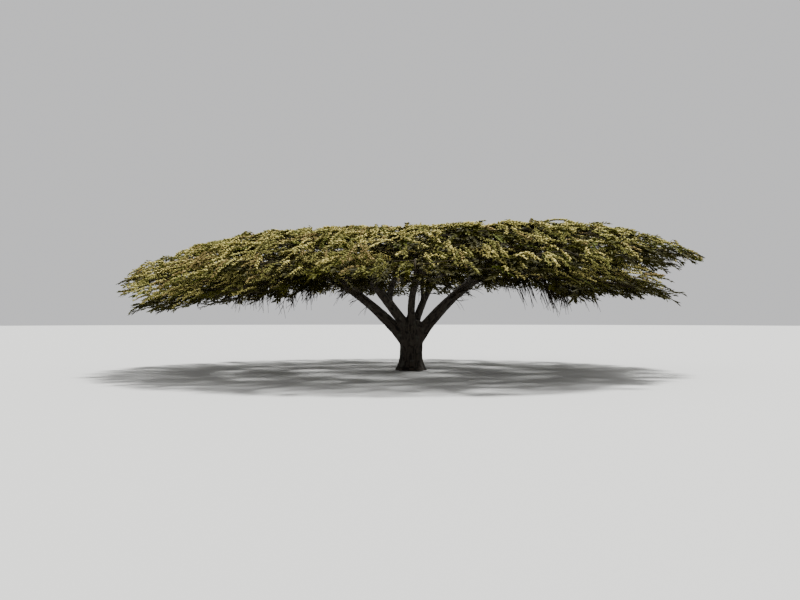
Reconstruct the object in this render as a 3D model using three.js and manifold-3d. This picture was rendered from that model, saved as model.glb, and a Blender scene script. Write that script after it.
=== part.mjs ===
// An umbrella-crowned acacia in blossom, in millimetres. +Z is up, +X is the right of the
// photographed view, -Y faces the viewer, and the origin is the centre of the trunk's flat cut
// at ground level. A short trunk forks into six leading boughs. Each bough, and each side bough
// that leaves it, ends in one shelf of foliage, and the shelves lie over each other in four tiers.
import * as THREE from "three";
import { mergeVertices } from "three/addons/utils/BufferGeometryUtils.js";
import Module from "manifold-3d";

const wasm = await Module();
wasm.setup();

// The crown's upper surface: its height over the trunk, its reach, and its fall at the rim.
const CENTRE_HEIGHT = 3990;
const RISE_TO_RIGHT = 0.045;
const REACH = { right: 8150, back: 7500, left: 8100, front: 7500 };
const RIM_FALL = { right: 1100, back: 1400, left: 1300, front: 1450 };
const DOME_POWER = { right: 4.5, back: 3, left: 3.6, front: 2.8 };

// The trunk, from its flared foot to the fork where the stubs of the leading boughs begin.
const TRUNK = { radius: 330, height: 1450, lean: 30, narrows: 0.66, top: 250 };
const FLARE = { out: 120, height: 500, ribs: 5, ribDepth: 0.35 };
const STUB = { length: 680, swell: 1.5 };
// The gap between two pieces that meet, and the room that foliage leaves round a limb.
const CLEARANCE = 0.3;
const CLEAR_OF_LIMBS = 6;

// The leading boughs: the height on the trunk's axis from which each grows, its azimuth at the
// fork and at the rim, its rise in degrees, and its root radius.
const LEADERS = [
  { name: "right", from: 760, leaves: -3, reaches: 0, rise: 50, radius: 185 },
  { name: "back_right", from: 1020, leaves: 62, reaches: 60, rise: 52, radius: 115 },
  { name: "back_left", from: 1100, leaves: 140, reaches: 120, rise: 47, radius: 125 },
  { name: "left", from: 760, leaves: 176, reaches: 180, rise: 45, radius: 170 },
  { name: "front_left", from: 1100, leaves: 216, reaches: 240, rise: 46, radius: 140 },
  { name: "front_right", from: 1080, leaves: 270, reaches: 300, rise: 62, radius: 112 },
];
const LEADER_TIP = 36;
const LEADER_TAPER = 0.8;
const LEADER_BEND = 0.46;

// The tiers of foliage. Places along a radius are shares of the crown's reach. The middle of a
// shelf lies at rootDepth under the crown's surface where it begins, and at crestDepth from
// crest outwards, and half is half the thickness of its space.
const TIERS = {
  top: { inner: 0.07, crest: 0.2, outer: 0.5, rootDepth: 520, crestDepth: 110, half: 210 },
  middle: { inner: 0.36, crest: 0.52, outer: 0.79, rootDepth: 820, crestDepth: 120, half: 240 },
  rim: { inner: 0.62, crest: 0.84, outer: 1, rootDepth: 900, crestDepth: 150, half: 330 },
  skirt: { inner: 0.63, outer: 0.94, half: 330 },
};
// The skirt has heights of its own, because its tips hang to about head height.
const SKIRT_ROOT = 2500;
const SKIRT_TIP = { right: 2300, back: 2450, left: 1780, front: 2100 };
const SKIRT_POWER = 1.5;
const LEADER_SHELF_WIDTH = 30;
const SECTOR_GAP = 1.2;
const INWARD_MARGIN = 0.05;

// The side boughs: the leader that each leaves, the share of its length where it does, and the
// tier, azimuth, width in degrees and droop towards the rim of the shelf that it carries. A shelf
// with an outer share of its own ends short of its tier.
const SIDES = [
  { parent: "back_right", at: 0.1, tier: "top", azimuth: 45, width: 90 },
  { parent: "back_left", at: 0.1, tier: "top", azimuth: 135, width: 90 },
  { parent: "front_left", at: 0.1, tier: "top", azimuth: 225, width: 90 },
  { parent: "front_right", at: 0.1, tier: "top", azimuth: 315, width: 90 },
  { parent: "right", at: 0.22, tier: "middle", azimuth: 26, width: 51 },
  { parent: "back_right", at: 0.22, tier: "middle", azimuth: 77, width: 51 },
  { parent: "back_left", at: 0.22, tier: "middle", azimuth: 129, width: 51 },
  { parent: "left", at: 0.22, tier: "middle", azimuth: 180, width: 51 },
  { parent: "front_left", at: 0.22, tier: "middle", azimuth: 231, width: 51 },
  { parent: "front_right", at: 0.22, tier: "middle", azimuth: 283, width: 51 },
  { parent: "right", at: 0.28, tier: "middle", azimuth: 334, width: 51 },
  { parent: "right", at: 0.42, tier: "rim", azimuth: 30, width: 30, droop: 300 },
  { parent: "back_right", at: 0.42, tier: "rim", azimuth: 90, width: 30 },
  { parent: "back_left", at: 0.42, tier: "rim", azimuth: 150, width: 30, droop: 450 },
  { parent: "left", at: 0.42, tier: "rim", azimuth: 210, width: 30, droop: 450 },
  { parent: "front_left", at: 0.42, tier: "rim", azimuth: 270, width: 30 },
  { parent: "front_right", at: 0.42, tier: "rim", azimuth: 330, width: 30, droop: 380, outer: 0.9 },
  { parent: "left", at: 0.6, tier: "skirt", azimuth: 163, width: 34 },
  { parent: "left", at: 0.66, tier: "skirt", azimuth: 198, width: 34 },
  { parent: "front_left", at: 0.6, tier: "skirt", azimuth: 231, width: 32 },
  { parent: "front_right", at: 0.6, tier: "skirt", azimuth: 317, width: 31 },
  { parent: "right", at: 0.6, tier: "skirt", azimuth: 349, width: 31, outer: 0.87 },
  { parent: "right", at: 0.66, tier: "skirt", azimuth: 20, width: 28, droop: -250 },
];
const SIDE_TIP = 27;
const SIDE_ROOT_SHARE = 0.68;
const SIDE_TAPER = 0.7;
const SIDE_BEND = 0.3;

// The growth rule of a shelf: side twigs on its stem, and sprays on each twig and at the tip.
// Each leaf stands for a whole spray of fine leaves, so it is far larger than a real one, and
// each blossom is one finger of a twig covered in flower spikes. Pairs are low and high limits.
const STEM = { root: 34, tip: 22, reaches: 0.86, end: 0.96 };
const TWIG_COUNT = { top: 5, middle: 6, rim: 5, skirt: 5 };
const TWIG = { root: 15, tip: 11, sunk: 2, first: 0.08, last: 0.86, lift: 0.35 };
const TWIG_OUT = [0.04, 0.08];
const TWIG_SIDE = [0.5, 0.68];
const LEAF = { length: 1300, width: 0.46, thickness: 0.06, roll: 60, lift: 0.9 };
const BLOSSOM = { length: 720, width: 0.17, thickness: 0.14, roll: 20, lift: 0.9 };
const SPRAY = { sunk: 4, longest: 1.05, swing: 18, tries: 14, first: 0.95, last: 0.4 };
const LEAVES_ON_TWIG = [
  { at: 0.3, turn: -16 },
  { at: 0.97, turn: 28 },
  { at: 0.55, turn: 4 },
  { at: 0.8, turn: -20 },
];
const BLOSSOM_ON_TWIG = { at: 0.66, turn: -2, every: 3 };
const LEAVES_ON_TIP = [-18, 18];
const LEAVES_INWARD = [160, 200];
const SEED = 11;

// Sides and rings of each kind of limb.
const FACETS = {
  trunk: [15, 6],
  stub: [8, 1],
  leader: [7, 7],
  side: [5, 4],
  stem: [3, 3],
  twig: [3, 1],
};
const BARK = { color: 0x4a4034, roughness: 0.95, metalness: 0 };
const FOLIAGE = { color: 0x8d9156, roughness: 0.8, metalness: 0 };

const UP = new THREE.Vector3(0, 0, 1);
const rad = THREE.MathUtils.degToRad;
const mix = THREE.MathUtils.lerp;
const smooth = THREE.MathUtils.smoothstep;

/** A value that changes smoothly with azimuth between its four directions. */
function around(values, azimuth) {
  const c = Math.cos(azimuth);
  const s = Math.sin(azimuth);
  return (
    (c > 0 ? values.right : values.left) * c * c + (s > 0 ? values.back : values.front) * s * s
  );
}

/** The height of the crown's upper surface at a share of its reach. */
function crownTop(share, azimuth) {
  const fall = around(RIM_FALL, azimuth) * share ** around(DOME_POWER, azimuth);
  const across = share * around(REACH, azimuth) * Math.cos(azimuth);
  return CENTRE_HEIGHT - fall + RISE_TO_RIGHT * Math.max(0, across);
}

/** The height of the middle of a tier. */
function tierHeight(tierName, share, azimuth) {
  const tier = TIERS[tierName];
  if (tierName === "skirt") {
    const along = THREE.MathUtils.clamp((share - tier.inner) / (tier.outer - tier.inner), 0, 1);
    return mix(SKIRT_ROOT, around(SKIRT_TIP, azimuth), along ** SKIRT_POWER);
  }
  const out = smooth(share, tier.inner, tier.crest);
  return crownTop(share, azimuth) - mix(tier.rootDepth, tier.crestDepth, out);
}

/** The height of the middle of one shelf, which may droop below its tier towards the rim. */
function shelfHeight(shelf, share, azimuth) {
  const { inner, outer } = TIERS[shelf.tier];
  return tierHeight(shelf.tier, share, azimuth) - shelf.droop * smooth(share, inner, outer);
}

/** A point at a share of the crown's reach, on a shelf or lifted off it. */
function onShelf(shelf, share, azimuth, lift = 0) {
  const r = share * around(REACH, azimuth);
  const z = shelfHeight(shelf, share, azimuth) + lift;
  return new THREE.Vector3(r * Math.cos(azimuth), r * Math.sin(azimuth), z);
}

/** Whether a point keeps to a shelf's own sector and to its band of heights. */
function inSpace(shelf, point) {
  const tier = TIERS[shelf.tier];
  const azimuth = Math.atan2(point.y, point.x);
  const share = Math.hypot(point.x, point.y) / around(REACH, azimuth);
  const turn = Math.atan2(Math.sin(azimuth - shelf.azimuth), Math.cos(azimuth - shelf.azimuth));
  return (
    share > tier.inner - INWARD_MARGIN &&
    share < shelf.outer &&
    Math.abs(turn) < shelf.halfWidth &&
    Math.abs(point.z - shelfHeight(shelf, share, azimuth)) < tier.half
  );
}

/** Repeatable random numbers from low to high, one stream for each seed. */
function seeded(seed) {
  let state = seed >>> 0;
  return (low = 0, high = 1) => {
    state = (state + 0x6d2b79f5) >>> 0;
    let t = Math.imul(state ^ (state >>> 15), 1 | state);
    t = (t + Math.imul(t ^ (t >>> 7), 61 | t)) ^ t;
    return low + ((high - low) * ((t ^ (t >>> 14)) >>> 0)) / 4294967296;
  };
}

/** A closed geometry as a solid that can be joined and cut. */
function solid(geometry) {
  const bare = new THREE.BufferGeometry();
  bare.setAttribute("position", geometry.getAttribute("position"));
  bare.setIndex(geometry.getIndex());
  const merged = mergeVertices(bare, 1e-3);
  return new wasm.Manifold(
    new wasm.Mesh({
      numProp: 3,
      vertProperties: merged.attributes.position.array,
      triVerts: new Uint32Array(merged.index.array),
    }),
  );
}

/** A limb along a curve: a closed cylinder bent to the curve, its radius given at each point. */
function limb(curve, radiusAt, [sides, rings]) {
  const tube = new THREE.CylinderGeometry(1, 1, 1, sides, rings);
  const frames = curve.computeFrenetFrames(rings, false);
  const at = tube.getAttribute("position");
  for (let i = 0; i < at.count; i += 1) {
    const ring = Math.round((at.getY(i) + 0.5) * rings);
    const radius = radiusAt(ring / rings, Math.atan2(at.getZ(i), at.getX(i)));
    const point = curve
      .getPointAt(ring / rings)
      .addScaledVector(frames.normals[ring], at.getX(i) * radius)
      .addScaledVector(frames.binormals[ring], -at.getZ(i) * radius);
    at.setXYZ(i, point.x, point.y, point.z);
  }
  return solid(tube);
}

/** The largest body of a solid, with its hollows and loose scraps dropped. */
function largestBody(joined) {
  const bodies = joined.decompose().sort((a, b) => b.volume() - a.volume());
  return bodies[0];
}

/** The direction of an azimuth and a rise, both in radians. */
function heading(azimuth, rise) {
  return new THREE.Vector3(
    Math.cos(azimuth) * Math.cos(rise),
    Math.sin(azimuth) * Math.cos(rise),
    Math.sin(rise),
  );
}

/** A smooth path that leaves and arrives along the given directions. */
function arc(start, startDirection, end, endDirection, bend) {
  const span = start.distanceTo(end) * bend;
  return new THREE.CubicBezierCurve3(
    start,
    start.clone().addScaledVector(startDirection, span),
    end.clone().addScaledVector(endDirection, -span),
    end,
  );
}

/** The trunk's curve, which leans a little to the right as it rises. */
const trunkCurve = new THREE.QuadraticBezierCurve3(
  new THREE.Vector3(0, 0, 0),
  new THREE.Vector3(0, 0, TRUNK.height / 2),
  new THREE.Vector3(TRUNK.lean, 0, TRUNK.height),
);

/** The trunk: a ribbed foot, a shaft that narrows in the fork, and a stub for each leader. */
function makeTrunk() {
  const radiusAt = (t, angle) => {
    const flare = FLARE.out * Math.max(0, 1 - (t * TRUNK.height) / FLARE.height) ** 2;
    const rib = 1 + FLARE.ribDepth * Math.cos(FLARE.ribs * angle);
    return mix(TRUNK.radius, TRUNK.top, smooth(t, TRUNK.narrows, 1)) + flare * rib;
  };
  const body = limb(trunkCurve, radiusAt, FACETS.trunk);
  const stubs = LEADERS.map((leader) => {
    const start = new THREE.Vector3(0, 0, leader.from);
    const end = start.clone().addScaledVector(leader.direction, STUB.length);
    const taper = (t) => leader.radius * mix(STUB.swell, 1, t);
    return limb(new THREE.LineCurve3(start, end), taper, FACETS.stub);
  });
  return largestBody(wasm.Manifold.union([body, ...stubs]));
}

/** The direction in which a shelf's middle line runs at a share of the reach. */
function shelfHeading(shelf, share) {
  const step = 0.03;
  return onShelf(shelf, share + step, shelf.azimuth)
    .sub(onShelf(shelf, share - step, shelf.azimuth))
    .normalize();
}

/** The space of one shelf: its tier, its sector, its droop and the share where it ends. */
function makeShelf(tier, azimuth, width, droop = 0, outer = TIERS[tier].outer) {
  return { tier, azimuth: rad(azimuth), halfWidth: rad(width / 2 - SECTOR_GAP), droop, outer };
}

for (const leader of LEADERS) {
  leader.direction = heading(rad(leader.leaves), rad(leader.rise));
  const start = new THREE.Vector3(0, 0, leader.from).addScaledVector(
    leader.direction,
    STUB.length + CLEARANCE,
  );
  leader.shelf = makeShelf("rim", leader.reaches, LEADER_SHELF_WIDTH);
  const end = onShelf(leader.shelf, TIERS.rim.inner, leader.shelf.azimuth);
  const arriving = shelfHeading(leader.shelf, TIERS.rim.inner);
  leader.curve = arc(start, leader.direction, end, arriving, LEADER_BEND);
  leader.radiusAt = (t) => mix(leader.radius, LEADER_TIP, t ** LEADER_TAPER);
  leader.make = (grown) => limb(leader.curve, (t) => leader.radiusAt(t) + grown, FACETS.leader);
}

for (const side of SIDES) {
  const parent = LEADERS.find((leader) => leader.name === side.parent);
  const { inner } = TIERS[side.tier];
  side.shelf = makeShelf(side.tier, side.azimuth, side.width, side.droop, side.outer);
  const start = parent.curve.getPointAt(side.at);
  const end = onShelf(side.shelf, inner, side.shelf.azimuth);
  const leaving = end
    .clone()
    .sub(start)
    .normalize()
    .add(parent.curve.getTangentAt(side.at))
    .normalize();
  const root = parent.radiusAt(side.at) * SIDE_ROOT_SHARE;
  side.curve = arc(start, leaving, end, shelfHeading(side.shelf, inner), SIDE_BEND);
  side.radiusAt = (t) => mix(root, SIDE_TIP, t ** SIDE_TAPER);
  side.make = (grown) => limb(side.curve, (t) => side.radiusAt(t) + grown, FACETS.side);
  side.cutter = parent.make(CLEARANCE);
  side.name = `${side.tier}_${String(side.azimuth).padStart(3, "0")}`;
}

/** One spray of leaf or blossom: an eight-faced blade from a point on its twig to its tip. */
function sprayBlade(kind, base, tip, roll) {
  const along = tip.clone().sub(base);
  const length = along.length() + SPRAY.sunk;
  const blade = new THREE.OctahedronGeometry(0.5);
  blade.scale(length, length * kind.width, length * kind.thickness);
  const forward = along.normalize();
  const sideways = UP.clone().cross(forward).normalize();
  const up = forward.clone().cross(sideways);
  sideways.applyAxisAngle(forward, roll);
  up.applyAxisAngle(forward, roll);
  const frame = new THREE.Matrix4().makeBasis(forward, sideways, up);
  frame.setPosition(tip.clone().addScaledVector(forward, -length / 2));
  return blade.applyMatrix4(frame);
}

/** Whether every corner of a geometry keeps to the shelf's space. */
function keepsToSpace(shelf, geometry) {
  const at = geometry.getAttribute("position");
  const corner = new THREE.Vector3();
  for (let i = 0; i < at.count; i += 1) {
    if (!inSpace(shelf, corner.fromBufferAttribute(at, i))) {
      return false;
    }
  }
  return true;
}

/** Whether a solid is clear of all the others. */
function clears(piece, others) {
  return others.every((other) => other.intersect(piece).isEmpty());
}

/** The side twigs of a shelf, to left and right of its stem by turns. */
function makeTwigs(shelf, stem, obstacles, dice) {
  const { half } = TIERS[shelf.tier];
  const count = TWIG_COUNT[shelf.tier];
  const twigs = [];
  for (let i = 0; i < count; i += 1) {
    const hand = i % 2 === 0 ? 1 : -1;
    const base = stem.getPointAt(mix(TWIG.first, TWIG.last, i / (count - 1)));
    const baseShare = Math.hypot(base.x, base.y) / around(REACH, shelf.azimuth);
    const share = Math.min(baseShare + dice(...TWIG_OUT), shelf.outer - INWARD_MARGIN);
    const azimuth = shelf.azimuth + hand * shelf.halfWidth * dice(...TWIG_SIDE);
    const tip = onShelf(shelf, share, azimuth, dice(-TWIG.lift, TWIG.lift) * half);
    const inwards = base.clone().sub(tip).normalize();
    const line = new THREE.LineCurve3(base.clone().addScaledVector(inwards, TWIG.sunk), tip);
    const piece = limb(line, (t) => mix(TWIG.root, TWIG.tip, t), FACETS.twig);
    if (clears(piece, obstacles)) {
      twigs.push({ line, piece, hand });
    }
  }
  return twigs;
}

/** A shelf of foliage: a stem from the bough's tip, side twigs, and sprays fused to them. */
function makeFoliage(bough, obstacles, dice) {
  const { shelf } = bough;
  const tier = TIERS[shelf.tier];
  const tipDirection = bough.curve.getTangentAt(1);
  const start = bough.curve.getPointAt(1).addScaledVector(tipDirection, CLEARANCE);
  const share = mix(tier.inner, shelf.outer, STEM.reaches);
  const end = onShelf(shelf, share, shelf.azimuth);
  const stem = arc(start, tipDirection, end, shelfHeading(shelf, share), LEADER_BEND);
  const stemPiece = limb(stem, (t) => mix(STEM.root, STEM.tip, t), FACETS.stem);
  const twigs = makeTwigs(shelf, stem, obstacles, dice);
  const wood = [stemPiece, ...twigs.map((twig) => twig.piece)];
  const sprays = [];

  /** Adds a spray where it finds room, shorter with each try, or else leaves it out. */
  const addSpray = (kind, base, turn, carrier) => {
    const outward = new THREE.Vector3(base.x, base.y, 0).normalize();
    const others = wood.filter((piece) => piece !== carrier);
    for (let i = 0; i < SPRAY.tries; i += 1) {
      const shortest = mix(SPRAY.first, SPRAY.last, i / SPRAY.tries);
      const length = kind.length * dice(shortest, SPRAY.longest);
      const swing = rad(turn + dice(-SPRAY.swing, SPRAY.swing));
      const tip = base.clone().addScaledVector(outward.clone().applyAxisAngle(UP, swing), length);
      const azimuth = Math.atan2(tip.y, tip.x);
      const tipShare = Math.hypot(tip.x, tip.y) / around(REACH, azimuth);
      const lowest = kind === BLOSSOM ? 0 : -kind.lift;
      tip.z = shelfHeight(shelf, tipShare, azimuth) + dice(lowest, kind.lift) * tier.half;
      const blade = sprayBlade(kind, base, tip, rad(dice(-kind.roll, kind.roll)));
      if (keepsToSpace(shelf, blade)) {
        const piece = solid(blade);
        if ([obstacles, others, sprays].every((group) => clears(piece, group))) {
          sprays.push(piece);
          return;
        }
      }
    }
  };

  for (let i = 0; i < twigs.length; i += BLOSSOM_ON_TWIG.every) {
    const { line, piece, hand } = twigs[i];
    addSpray(BLOSSOM, line.getPoint(BLOSSOM_ON_TWIG.at), hand * BLOSSOM_ON_TWIG.turn, piece);
  }
  for (const { at, turn } of LEAVES_ON_TWIG) {
    for (const { line, piece, hand } of twigs) {
      addSpray(LEAF, line.getPoint(at), hand * turn, piece);
    }
  }
  for (const turn of LEAVES_ON_TIP) {
    addSpray(LEAF, stem.getPointAt(STEM.end), turn, stemPiece);
  }
  for (const turn of shelf.tier === "top" ? LEAVES_INWARD : []) {
    addSpray(LEAF, stem.getPointAt(1 - STEM.end), turn, stemPiece);
  }
  return largestBody(wasm.Manifold.union([...wood, ...sprays]));
}

const tree = new THREE.Group();

/** Adds a solid to the tree as one named mesh with a material of its own. */
function addNode(name, made, finish) {
  const { vertProperties, triVerts } = made.getMesh();
  const geometry = new THREE.BufferGeometry();
  geometry.setAttribute("position", new THREE.BufferAttribute(vertProperties, 3));
  geometry.setIndex(new THREE.BufferAttribute(triVerts, 1));
  geometry.computeVertexNormals();
  const mesh = new THREE.Mesh(geometry, new THREE.MeshStandardMaterial(finish));
  mesh.name = name;
  tree.add(mesh);
}

const trunk = makeTrunk();
addNode("trunk", trunk, BARK);

const boughs = [...LEADERS, ...SIDES];
const thickened = boughs.map((bough) => bough.make(CLEAR_OF_LIMBS));
const shelves = [];

boughs.forEach((bough, i) => {
  const whole = bough.make(0);
  const own = bough.cutter ? largestBody(whole.subtract(bough.cutter)) : whole;
  addNode(`bough_${bough.name}`, own, BARK);
  const otherLimbs = thickened.filter((_, k) => k !== i);
  const obstacles = [trunk, own, ...otherLimbs, ...shelves];
  const foliage = makeFoliage(bough, obstacles, seeded(SEED + i));
  shelves.push(foliage);
  addNode(`foliage_${bough.name}`, foliage, FOLIAGE);
});

export default tree;
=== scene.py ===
# An umbrella-crowned acacia in blossom. Every length is in metres, +X is the right of the
# photographed view, -Y faces the viewer, and the trunk's flat cut lies on the ground at z = 0.
import math

import bmesh
import bpy
import numpy as np
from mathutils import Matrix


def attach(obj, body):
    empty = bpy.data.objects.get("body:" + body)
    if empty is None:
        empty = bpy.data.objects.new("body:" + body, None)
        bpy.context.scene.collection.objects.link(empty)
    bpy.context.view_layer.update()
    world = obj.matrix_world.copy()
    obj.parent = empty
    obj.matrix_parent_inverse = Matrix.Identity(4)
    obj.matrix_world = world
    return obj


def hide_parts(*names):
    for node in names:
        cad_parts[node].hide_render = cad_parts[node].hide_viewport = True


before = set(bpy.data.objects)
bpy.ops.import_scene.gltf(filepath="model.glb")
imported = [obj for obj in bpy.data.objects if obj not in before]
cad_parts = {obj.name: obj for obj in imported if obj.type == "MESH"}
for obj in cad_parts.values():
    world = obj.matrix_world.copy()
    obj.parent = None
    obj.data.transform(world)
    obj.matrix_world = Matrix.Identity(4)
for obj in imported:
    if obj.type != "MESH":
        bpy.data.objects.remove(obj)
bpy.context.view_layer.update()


# THE TRUNK AND ITS FORK
# The trunk is one short column of hard wood under dark, deeply furrowed bark. Its foot spreads
# in ribs over the roots, and the leading boughs grow out of its top as one skin: their stumps
# are fused to it, the crotches are rounded, and the furrows run on from it along each bough.
TRUNK = {"radius": 0.33, "height": 1.45, "lean": 0.03, "narrows": 0.66, "top": 0.25}
FLARE = {"out": 0.12, "height": 0.5, "ribs": 5, "rib_depth": 0.35}
TRUNK_SIDES = 64
TRUNK_RINGS = 70
TRUNK_SEED = 7
STUMP_SIDES = 32
STUMP_RINGS = 40
STUMP_RUN = 0.95
STUMP_SINKS = {"depth": 0.014, "from": 0.75}
SKIN_VOXEL = 0.013
CROTCH_ROUNDS = 14
FOOT_CUT = 0.012
BARKS_BLEND = 0.06
BARK_FROM_GROUND = 0.05
FURROW = {"width": 0.05, "length": 0.2, "depth": 0.013, "edge": 0.2, "wander": 0.8, "wavy": 2.3}
FLAKE = {"across": 3, "along": 9, "relief": 0.6}
NOISE_ROWS = 256
BARK_RIDGE = (0.044, 0.036, 0.028)
BARK_FURROW = (0.010, 0.008, 0.006)
LICHEN = (0.065, 0.065, 0.052)

# A leading bough swings out in one smooth curve from the trunk's axis to a shelf of foliage at the
# crown's rim. "from" is the height where its line starts, "leaves" its azimuth there in degrees,
# "reaches" its azimuth at the rim, and "rise" its slope at the start.
STUB = {"length": 0.68, "swell": 1.5}
LEADER_KEYS = ("name", "from", "leaves", "reaches", "rise", "radius")
LEADER_ROWS = [
    ("right", 0.76, -3, 0, 50, 0.185),
    ("back_right", 1.02, 62, 60, 52, 0.115),
    ("back_left", 1.1, 140, 120, 47, 0.125),
    ("left", 0.76, 176, 180, 45, 0.17),
    ("front_left", 1.1, 216, 240, 46, 0.14),
    ("front_right", 1.08, 270, 300, 62, 0.112),
]
LEADERS = [dict(zip(LEADER_KEYS, row)) for row in LEADER_ROWS]
LEADER_TIP = 0.036
LEADER_TAPER = 0.8
LEADER_BEND = 0.46
LEADER_SHELF_WIDTH = 30
LINE_POINTS = 81
LINE_SHARES = np.linspace(0, 1, LINE_POINTS)

# The crown is a low dome that falls to its rim, and its foliage lies in four tiers of shelves
# under it. Shares are parts of the reach. A shelf lies "root" under the dome at its "inner" share
# and "depth" under it from "crest" on, and is twice "half" thick. The skirt falls from its own
# height to a tip that hangs lower at the left.
CENTRE_HEIGHT = 3.99
RISE_TO_RIGHT = 0.045
REACH = {"right": 8.15, "back": 7.5, "left": 8.1, "front": 7.5}
RIM_FALL = {"right": 1.1, "back": 1.4, "left": 1.3, "front": 1.45}
DOME_POWER = {"right": 4.5, "back": 3.0, "left": 3.6, "front": 2.8}
TIERS = {
    "top": {"inner": 0.07, "crest": 0.2, "outer": 0.5, "root": 0.52, "depth": 0.11, "half": 0.21},
    "middle": {"inner": 0.36, "crest": 0.52, "outer": 0.79, "root": 0.82, "depth": 0.12, "half": 0.24},
    "rim": {"inner": 0.62, "crest": 0.84, "outer": 1.0, "root": 0.9, "depth": 0.15, "half": 0.33},
    "skirt": {"inner": 0.63, "outer": 0.94, "half": 0.33},
}
SKIRT_ROOT = 2.5
SKIRT_TIP = {"right": 2.3, "back": 2.45, "left": 1.78, "front": 2.1}
SKIRT_POWER = 1.5
UP = np.array([0.0, 0.0, 1.0])


def around(values, azimuth):
    """A value that changes smoothly with azimuth between its four directions."""
    c = np.cos(azimuth)
    s = np.sin(azimuth)
    across = np.where(c > 0, values["right"], values["left"])
    along = np.where(s > 0, values["back"], values["front"])
    return across * c * c + along * s * s


def mix(low, high, t):
    """The value at t of the way from low to high."""
    return low + (high - low) * t


def smooth(x, low, high):
    """A smooth step from 0 at low to 1 at high."""
    t = np.clip((x - low) / (high - low), 0, 1)
    return t * t * (3 - 2 * t)


def crown_top(share, azimuth):
    """The height of the crown's upper surface."""
    fall = around(RIM_FALL, azimuth) * share ** around(DOME_POWER, azimuth)
    across = share * around(REACH, azimuth) * np.cos(azimuth)
    return CENTRE_HEIGHT - fall + RISE_TO_RIGHT * np.maximum(0, across)


def shelf_height(shelf, share, azimuth):
    """The height of the middle of a shelf, which may droop below its tier towards the rim."""
    tier = TIERS[shelf["tier"]]
    if shelf["tier"] == "skirt":
        along = np.clip((share - tier["inner"]) / (tier["outer"] - tier["inner"]), 0, 1)
        height = mix(SKIRT_ROOT, around(SKIRT_TIP, azimuth), along**SKIRT_POWER)
    else:
        out = smooth(share, tier["inner"], tier["crest"])
        height = crown_top(share, azimuth) - mix(tier["root"], tier["depth"], out)
    return height - shelf["droop"] * smooth(share, tier["inner"], tier["outer"])


def on_shelf(shelf, share, azimuth, lift=0.0):
    """Points on a shelf, or lifted off it, at shares of the reach."""
    r = share * around(REACH, azimuth)
    z = shelf_height(shelf, share, azimuth) + lift
    return np.stack(np.broadcast_arrays(r * np.cos(azimuth), r * np.sin(azimuth), z), axis=-1)


def unit(vectors):
    """The same vectors with a length of 1."""
    return vectors / np.maximum(np.linalg.norm(vectors, axis=-1, keepdims=True), 1e-9)


def shelf_way(shelf, share):
    """The direction in which a shelf's middle line runs."""
    step = 0.03
    azimuth = shelf["azimuth"]
    return unit(on_shelf(shelf, share + step, azimuth) - on_shelf(shelf, share - step, azimuth))


def spaced(points, count):
    """The same line with count points at even distances."""
    steps = np.linalg.norm(np.diff(points, axis=0), axis=1)
    run = np.concatenate([[0.0], np.cumsum(steps)])
    even = np.linspace(0, run[-1], count)
    return np.column_stack([np.interp(even, run, points[:, k]) for k in range(3)])


def arc(start, start_way, end, end_way, bend):
    """A smooth line that leaves and arrives along the given directions."""
    span = np.linalg.norm(end - start) * bend
    near = start + start_way * span
    far = end - end_way * span
    t = np.linspace(0, 1, 4 * LINE_POINTS)[:, None]
    points = start * (1 - t) ** 3 + near * 3 * t * (1 - t) ** 2 + far * 3 * t**2 * (1 - t) + end * t**3
    return spaced(points, LINE_POINTS)


def along_line(line, t):
    """Points of a line, or directions given along it, at shares of its length."""
    place = np.clip(t, 0, 1) * (len(line) - 1)
    return np.stack([np.interp(place, np.arange(len(line)), line[:, k]) for k in range(3)], axis=-1)


def line_length(line):
    """The length of a line."""
    return float(np.linalg.norm(np.diff(line, axis=0), axis=1).sum())


def make_shelf(tier, azimuth, width, droop, outer):
    """The space of one shelf of foliage, from its azimuth and width in degrees."""
    shelf = {"tier": tier, "droop": droop, "outer": outer}
    shelf["azimuth"] = math.radians(azimuth)
    shelf["half_width"] = math.radians(width / 2)
    return shelf


def patchwork(u, v, columns, seed):
    """Smooth noise from 0 to 1 over u and v, which closes on itself after columns of u."""
    grid = np.random.default_rng(seed).random((columns, NOISE_ROWS))
    i = np.floor(u).astype(int)
    j = np.floor(v).astype(int)
    a = smooth(u - i, 0, 1)
    b = smooth(v - j, 0, 1)
    left = i % columns
    right = (i + 1) % columns
    low = j % NOISE_ROWS
    high = (j + 1) % NOISE_ROWS
    near = mix(grid[left, low], grid[right, low], a)
    far = mix(grid[left, high], grid[right, high], a)
    return mix(near, far, b)


def bark_relief(angle, run, girth, seed):
    """Bark at an angle round a limb and a distance along it: -1 in a furrow, up to 0.3 on a ridge."""
    columns = max(5, round(girth / FURROW["width"]))
    u = angle / math.tau % 1.0 * columns
    v = run / FURROW["length"]
    bent = u + FURROW["wander"] * (patchwork(u, v * FURROW["wavy"], columns, seed + 1) - 0.5)
    plates = patchwork(bent, v, columns, seed)
    furrow = np.exp(-(((2 * plates - 1) / FURROW["edge"]) ** 2))
    across = FLAKE["across"]
    flakes = patchwork(u * across, v * FLAKE["along"], columns * across, seed + 2)
    return FLAKE["relief"] * (flakes - 0.5) - furrow


def set_points(mesh, points):
    """Moves a mesh's vertices to the given points."""
    mesh.vertices.foreach_set("co", points.astype(np.float32).ravel())
    mesh.update()


def mesh_points(mesh):
    """A mesh's vertices as an array."""
    points = np.empty(len(mesh.vertices) * 3, np.float32)
    mesh.vertices.foreach_get("co", points)
    return points.reshape(-1, 3).astype(float)


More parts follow.
